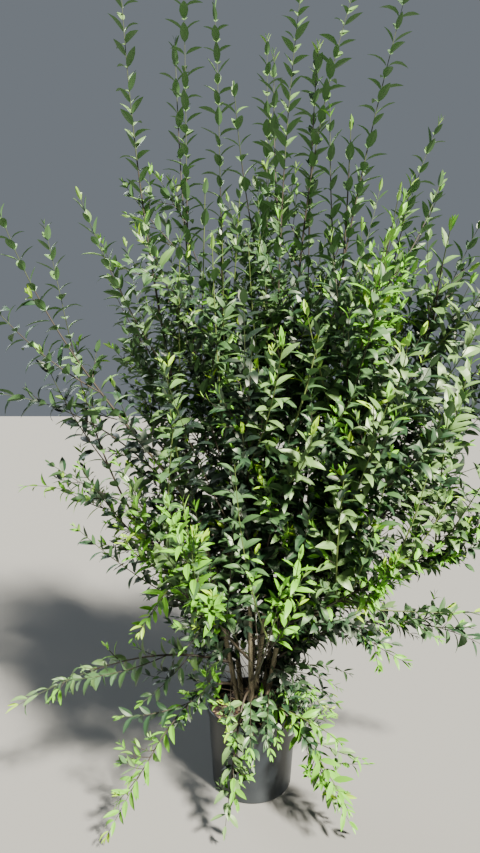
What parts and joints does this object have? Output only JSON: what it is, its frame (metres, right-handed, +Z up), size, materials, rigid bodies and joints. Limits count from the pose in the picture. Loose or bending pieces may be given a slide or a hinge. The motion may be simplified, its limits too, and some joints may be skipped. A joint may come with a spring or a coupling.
{
  "type": "potted privet shrub",
  "caption": "Tall, open evergreen privet bush with several upright stems, arching leafy whips and low trailing shoots, standing in a round black nursery pot.",
  "frame": {"origin": "middle of the flat underside of the pot", "axes": "+Z up along the pot's axis, +X to the right and -Y towards the viewer in the reference view"},
  "size_m": [1.7018, 1.0528, 2.4457],
  "materials": {
    "pot": "thin black polypropylene nursery pot, moulded, matt with a faint sheen",
    "compost": "moist brown peat and bark compost with pale chips and dry leaves on top",
    "bark": "smooth grey brown bark with small pale pores, greener on the young shoots",
    "mature_leaves": "glossy mid to dark green leaves, paler and matt below",
    "fresh_leaves": "glossy light yellow green young leaves, paler and matt below"
  },
  "bodies": {
    "root": {"pot": "pot", "compost": "compost", "stem_middle": "bark", "stem_left": "bark", "stem_back_left": "bark", "stem_back": "bark", "stem_back_right": "bark", "stem_right": "bark", "stem_front": "bark", "bough_left_high": "bark", "bough_left_upright": "bark", "bough_left_level": "bark", "bough_left_mid": "bark", "bough_rear_left": "bark", "bough_right_tall": "bark", "bough_rear_right": "bark", "bough_right_high": "bark", "bough_right_mid": "bark", "bough_right_level": "bark", "foliage_middle": "mature_leaves", "foliage_left": "mature_leaves", "foliage_back_left": "mature_leaves", "foliage_back": "mature_leaves", "foliage_back_right": "mature_leaves", "foliage_right": "mature_leaves", "foliage_front": "mature_leaves", "foliage_left_high": "mature_leaves", "foliage_left_upright": "mature_leaves", "foliage_left_level": "mature_leaves", "foliage_left_mid": "fresh_leaves", "foliage_rear_left": "mature_leaves", "foliage_right_tall": "mature_leaves", "foliage_rear_right": "mature_leaves", "foliage_right_high": "mature_leaves", "foliage_right_mid": "mature_leaves", "foliage_right_level": "fresh_leaves", "foliage_inner_left": "mature_leaves", "foliage_inner_right": "mature_leaves", "foliage_right_upright": "mature_leaves", "foliage_right_front": "mature_leaves", "foliage_rear_high": "mature_leaves", "foliage_front_high": "mature_leaves", "foliage_heart_front": "mature_leaves", "foliage_heart_left": "fresh_leaves", "foliage_heart_right": "mature_leaves", "foliage_heart_back": "mature_leaves", "foliage_heart_mid": "mature_leaves", "foliage_front_left": "fresh_leaves", "foliage_front_low": "fresh_leaves", "foliage_front_right": "fresh_leaves", "foliage_rear_low_left": "fresh_leaves", "foliage_rear_low_right": "fresh_leaves", "foliage_left_low": "fresh_leaves", "foliage_right_low": "fresh_leaves", "foliage_left_droop": "fresh_leaves", "foliage_right_droop": "fresh_leaves", "foliage_rear_droop": "fresh_leaves", "foliage_front_droop": "fresh_leaves"}
  },
  "joints": []
}
